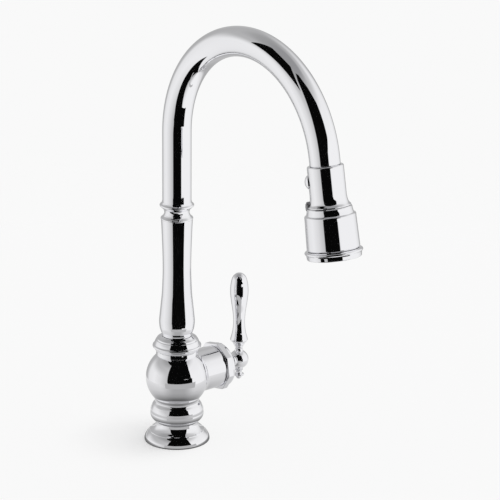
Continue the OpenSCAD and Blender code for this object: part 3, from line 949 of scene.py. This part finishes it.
turned("collar", "swivel_collar", [(20.9, 96.6)] + curve([(21.6, 96.9), (22.1, 97.6), (22.3, 98.6)])
       + curve([(22.5, 99), (23.4, 99.6)]) + arc((23.2, 101.5), 1.5, -60, 80)
       + curve([(23.1, 103.4), (22.6, 105.2), (21.4, 107.8)]) + [(20.7, 108.2), (20.5, 109)]
       + curve([(20.2, 109.6), (18.3, 110.7), (16.4, 112.3)]), WORLD, "chrome",
       inner=[(10.56, 96.6), (10.56, 107), (13.5, 107), (13.5, 112.3)])
turned("riser", "column", [(13.5, 106.5), (13.5, 112.6)]
       + curve([(15.2, 112.6), (15.4, 114.6), (16.4, 117.2), (17.6, 121.6), (18.05, 127.4), (17.75, 131.7),
                (16.45, 144.5), (15.2, 157), (14.6, 170), (14.25, 182.6), (14.55, 201.6), (15, 214),
                (15.5, 226.7), (15.9, 233.6)])
       + arc((15.3, 235.9), 1, -50, 60) + curve([(15.3, 237.2), (13.9, 238.5), (13.2, 239.8)]),
       WORLD, "chrome",
       inner=[(10.56, 106.5), (10.56, 127), (9.5, 127), (9.5, 232), (11.4, 232), (11.4, 239.8)])
turned("cap", "column_cap", [(11.4, 232.1), (11.4, 239.8)]
       + curve([(13, 239.8), (12.6, 241.6), (12.8, 243.4), (13.5, 245.4)])
       + curve([(14.2, 246.2), (15.6, 247.4)]) + arc((15.9, 249.5), 1.3, -75, 75)
       + curve([(15.7, 251.2), (15, 252.4), (14.9, 253.2)]), WORLD, "chrome",
       inner=[(9.5, 232.1), (9.5, 248.4), (13.6, 248.4), (13.6, 253.2)])

TUBE_R, TUBE_BORE, RIM_S, TIP = 14.5, 12.4, 6.0, 10.0
TURN = math.acos(max(-1, min(1, -AXIS_T.z)))
ARCH_TURN = math.pi - TURN
ARCH_R = -ARCH_END.y / (1 - math.cos(ARCH_TURN))
ARCH_Z = ARCH_END.z - ARCH_R * math.sin(ARCH_TURN)


def arch_frame(s):
    """Point and direction of the tube's centreline at length s from the arch's start."""
    arc_len = ARCH_R * ARCH_TURN
    if s <= 0:
        return Vector((0, 0, ARCH_Z + s)), Vector((0, 0, 1))
    if s >= arc_len:
        return ARCH_END + AXIS_T * (s - arc_len), AXIS_T.copy()
    a = s / ARCH_R
    return (Vector((0, -ARCH_R * (1 - math.cos(a)), ARCH_Z + ARCH_R * math.sin(a))),
            Vector((0, -math.sin(a), math.cos(a))))


def run(stations, sides=120):
    """A tube along the arch from (length, radius, normal along, normal out) rows."""
    verts, normals, faces = [], [], []
    for s, r, out, along in stations:
        p, t = arch_frame(s)
        x = Vector((1, 0, 0))
        y = t.cross(x)
        for k in range(sides):
            a = 2 * math.pi * k / sides
            d = x * math.cos(a) + y * math.sin(a)
            verts.append(p + d * r * MM)
            normals.append((d * out + t * along).normalized())
    for i in range(len(stations) - 1):
        for k in range(sides):
            m = (k + 1) % sides
            faces.append((i * sides + k, i * sides + m, (i + 1) * sides + m, (i + 1) * sides + k))
    return verts, faces, normals


def rounded_end(s, r, edge):
    """A tube end's rounded outer edge: place along the tube, radius and normal of each point."""
    points = []
    for j in range(7):
        b = math.radians(90 * j / 6)
        inwards = edge * (1 - math.cos(b))
        points.append((s - edge * (1 - math.sin(b)) * MM, r - inwards, math.cos(b), math.sin(b)))
    return points


def gooseneck():
    """The bent tube and the thinner nose that the head docks on."""
    nose_r = 13.7
    arc_len = ARCH_R * ARCH_TURN
    start = 253.2 * MM - ARCH_Z
    end = arc_len + (RIM_S - 0.3) * MM
    tip = arc_len + TIP * MM
    outer_s = np.concatenate([np.linspace(start, 0, 6), np.linspace(0, arc_len, 180)[1:]])
    inner_s = np.concatenate([np.linspace(arc_len + 9 * MM, arc_len, 3), np.linspace(arc_len, 0, 100)[1:],
                              np.linspace(0, start, 3)[1:]])
    outside = [(start - 0.3 * MM, TUBE_R, 1, 0)]
    outside += [(float(s), TUBE_R, 1, 0) for s in outer_s]
    outside += rounded_end(end, TUBE_R, 0.4)
    outside += [(end, nose_r, 0, 1), (end + 0.001 * MM, nose_r, 1, 0)]
    outside += rounded_end(tip, nose_r, 0.3)
    outside += [(tip, TUBE_BORE, 0, 1), (tip - 1e-6, TUBE_BORE, -1, 0)]
    outside += [(float(s), TUBE_BORE, -1, 0) for s in inner_s]
    return piece("neck_tube", "gooseneck", [run(outside)])


gooseneck()

# ---------------------------------------------------------------- spray head


def head_part(name, node, loop, cutters):
    loop = placed(loop, node, HEAD)
    obj = build(name, [shell(loop, HEAD, True)], None, "chrome", [node])
    cut(obj, cutters, loop, HEAD)
    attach(obj, NODES[node]["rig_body"])
    return obj


SMOOTH_S, RIBBED_S = 20.5, 43.8
smooth_hole = (button_frame(SMOOTH_S), 6.8, 10, 30)
ribbed_hole = (button_frame(RIBBED_S), 5.5, 10, 30)
grip_out = ([(20.5, -44.5), (20.5, -43.8)] + curve([(20, -43.2), (18.4, -41.2), (17.5, -37.6), (17.2, -34)])
            + [(17.2, -12)] + arc((15.7, -7.5), 1.5, 0, 90))
head_part("grip", "head_grip", with_bore(grip_out, [(15.2, -44.5), (15.2, -10.6), (14.2, -10.6), (14.2, -6)]),
          [smooth_hole, ribbed_hole])
bell_out = ([(24.2, -84.6), (25, -83.2)] + curve([(25, -83), (24.8, -76), (24.5, -66), (24.2, -56)])
            + arc((22.6, -53.4), 1.6, 0, 75) + [(22.2, -51.5)]
            + curve([(22.2, -51.2), (21.6, -48.4), (21.2, -45.6)]) + [(20.6, -44.8)])
head_part("bell", "head_bell", with_bore(bell_out, [(22.5, -84.6), (22.5, -54), (15.1, -54), (15.1, -44.8)]),
          [ribbed_hole])
turned("lip", "spray_ring", [(25, -93)] + arc((25, -92.3), 0.7, -90, 0) + [(26, -89.4)]
       + curve([(26.2, -89), (26.5, -88.2)])
       + arc((26, -86.8), 1.4, -60, 60) + [(26, -85.4), (25.2, -84.9)], HEAD, "chrome",
       inner=[(23.4, -93), (23.4, -92), (22.6, -92), (22.6, -84.9)])


def smooth_button():
    """A domed button with a flange behind the grip's wall and a recess for its spring."""
    place = button_frame(SMOOTH_S)
    flange_r, button_r, dome_r, recess_r = 7, 6.5, 8.4, 3.5
    low, recess_z = 12, 14.5
    grip_r, stands_out = 17.2, 3.3
    top = grip_r + stands_out
    z = top - dome_r
    rim = math.degrees(math.acos(button_r / dome_r))
    outline = ([(recess_r, low), (flange_r, low), (flange_r, 13), (button_r, 13)]
               + arc((0, z), dome_r, rim, 89.8, 40) + [(0.02, top), (0.02, recess_z), (recess_r, recess_z)])
    outline = placed(outline, "mode_button", place)
    return piece("smooth_button", "mode_button", [shell(outline, place, True, 96)])


smooth_button()


def grid_shell(verts, rows, cols, place):
    """Normals by cross products of a closed-ring grid given row by row."""
    out_v, out_f = [place @ v for v in verts], []
    for i in range(rows - 1):
        for k in range(cols):
            m = (k + 1) % cols
            out_f.append((i * cols + k, i * cols + m, (i + 1) * cols + m, (i + 1) * cols + k))
    nn = [Vector((0, 0, 0)) for _ in out_v]
    for f in out_f:
        a, b, c, d = (out_v[i] for i in f)
        n = (c - a).cross(d - b)
        for i in f:
            nn[i] += n
    return out_v, out_f, [n.normalized() if n.length > 0 else Vector((0, 0, 1)) for n in nn]


def ribbed_button():
    """A round, domed button with cross ribs inside a smooth rim, and a recess for its spring."""
    place = button_frame(RIBBED_S)
    low, rim, top, outer = 12.0, 19.3, 22.3, 5.2
    recess_r, recess_z = 3.1, 14.5
    roundness = 2.6
    rib_pitch, rib_depth, rib_shape = 1.45, 0.55, 0.7
    # the ribs end at this share of the radius, over this width
    ribs_to, ribs_fade = 0.84, 0.05
    cols, dome_rows = 120, 60
    rows = [(0.02, recess_z), (recess_r, recess_z), (recess_r, low), (outer - 0.05, low), (outer, low + 0.1),
            (outer, rim - 0.1)]
    # the dome's rows have no fixed level
    rows += [(outer * (1 - j / dome_rows), None) for j in range(dome_rows + 1)]
    verts = []
    for r, level in rows:
        for k in range(cols):
            a = 2 * math.pi * k / cols
            x, y = r * math.cos(a), r * math.sin(a)
            z = level
            if level is None:
                q = min(1, math.hypot(x, y) / outer)
                ribbed = max(0.0, min(1.0, (ribs_to - q) / ribs_fade))
                wave = 0.5 + 0.5 * math.cos(2 * math.pi * y / rib_pitch)
                z = rim + (top - rim) * math.sqrt(max(0, 1 - q ** roundness))
                z -= ribbed * rib_depth * (1 - wave ** rib_shape)
            verts.append(Vector((x * MM, y * MM, z * MM)))
    shell_parts = [grid_shell(verts, len(rows), cols, place)]
    return piece("ribbed_button", "pause_button", shell_parts, "ribbed_button")


ribbed_button()

# ---------------------------------------------------------------- under the deck


def thread():
    """The shank with its external thread, that fades at both ends."""
    lo, hi = (v.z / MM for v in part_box("threaded_shank"))
    pitch, crest, root, bore, sides = 1.5, 16.0, 15.15, 13.5, 72
    fade_low, fade_high = 1.5, 2.0
    # shares of the half pitch that are flat at the root and sloped; the rest is flat at the crest
    flat, flank = 0.12, 0.76
    verts, steps = [], int(round(-lo / pitch * 6))
    for i in range(steps + 1):
        z = lo - lo * i / steps
        fade = min(1, (z - lo) / fade_low, -z / fade_high)
        for k in range(sides):
            phase = (z / pitch + k / sides) % 1
            height = min(1, max(0, (abs(2 * phase - 1) - flat) / flank))
            r = crest - (crest - root) * (1 - fade + fade * (1 - height))
            a = 2 * math.pi * k / sides
            verts.append(Vector((r * math.cos(a) * MM, r * math.sin(a) * MM, z * MM)))
    outer = grid_shell(verts, steps + 1, sides, WORLD)
    rest = shell([(15.2, -0.01), (15.0, 0), (15.0, hi), (bore, hi), (bore, lo), (15.2, lo)], WORLD, False, 96)
    return piece("shank", "threaded_shank", [outer, rest], "brass")


thread()


def hex_nut():
    lo, hi = (v.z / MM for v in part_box("mounting_nut"))
    return piece("nut", "mounting_nut", [prism(6, 25, lo, hi, 0, WORLD, 16.05, 0.9)], "brass")


hex_nut()
for tube_node in ("hot_inlet", "cold_inlet", "outlet_tube"):
    tube_lo, tube_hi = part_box(tube_node)
    tube_place = Matrix.Translation(((tube_lo.x + tube_hi.x) / 2, (tube_lo.y + tube_hi.y) / 2, 0))
    turned(tube_node + "_tube", tube_node, [(4, tube_lo.z / MM), (4, tube_hi.z / MM)], tube_place, "copper",
           inner=3, sides=64)
for washer, outer_r, inner_r, washer_slot in (("deck_washer", 29, 16.05, "black_rubber"),
                                              ("clamp_washer", 29, 16.05, "steel"),
                                              ("deck_gasket", 30, 18, "black_rubber")):
    w_lo, w_hi = (v.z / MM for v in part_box(washer))
    turned(washer + "_ring", washer, [(outer_r, w_lo), (outer_r, w_hi)], WORLD, washer_slot,
           inner=inner_r, sides=128)
turned("coupling", "hose_coupling", [(5, 0), (6, 1), (6, 12), (5.4, 12.8), (5.4, 20), (5, 21)],
       WORLD, "steel", inner=[(3.4, 0), (3.4, 16), (0.02, 16), (0.02, 21)], sides=96)


def hose(name, stations, body):
    """A length of the braided hose inside the column, arch and head."""
    sides, hose_r = 48, 5.0
    # how often the braid repeats round the hose, and for each millimetre of its length
    round_hose, per_mm = 10, 0.3
    obj = build(name, [run([(float(s), hose_r, 1, 0) for s in stations], sides)], body, "hose_braid",
                ["spray_hose"])
    uv = obj.data.uv_layers.new(name="braid")
    for loop in obj.data.loops:
        i, k = divmod(loop.vertex_index, sides)
        uv.data[loop.index].uv = (k / sides * round_hose, float(stations[i]) / MM * per_mm)
    return obj


HOSE_FIXED, HOSE_END = 3 * MM, 24 * MM
arc_length = ARCH_R * ARCH_TURN
hose("hose", np.concatenate([np.linspace(span("spray_hose", WORLD)[0] * MM - ARCH_Z, 0, 120),
                             np.linspace(0, arc_length + HOSE_FIXED, 200)[1:]]), "spout")
# the last stretch, which runs on into the head
tail = hose("hose_tail", np.linspace(arc_length + HOSE_FIXED, arc_length + HOSE_END, 80), None)
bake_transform(tail)


def coil(name, node, place, r, low, high, turns):
    """A button's coil spring, built at one fixed length."""
    # the wire's radius
    wire = 0.28
    around, steps = 12, turns * 32
    verts = []
    for i in range(steps + 1):
        a = 2 * math.pi * turns * i / steps
        z = low + wire + (high - low - 2 * wire) * i / steps
        for k in range(around):
            b = 2 * math.pi * k / around
            q = r + wire * math.cos(b)
            verts.append(Vector((q * math.cos(a) * MM, q * math.sin(a) * MM, (z + wire * math.sin(b)) * MM)))
    obj = build(name, [grid_shell(verts, steps + 1, around, place)], None, "steel", [node])
    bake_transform(obj)


coil("mode_coil", "mode_spring", button_frame(SMOOTH_S), 2.85, 9.65, 14.45, 4)
coil("pause_coil", "pause_spring", button_frame(RIBBED_S), 2.5, 8.5, 14.4, 5)
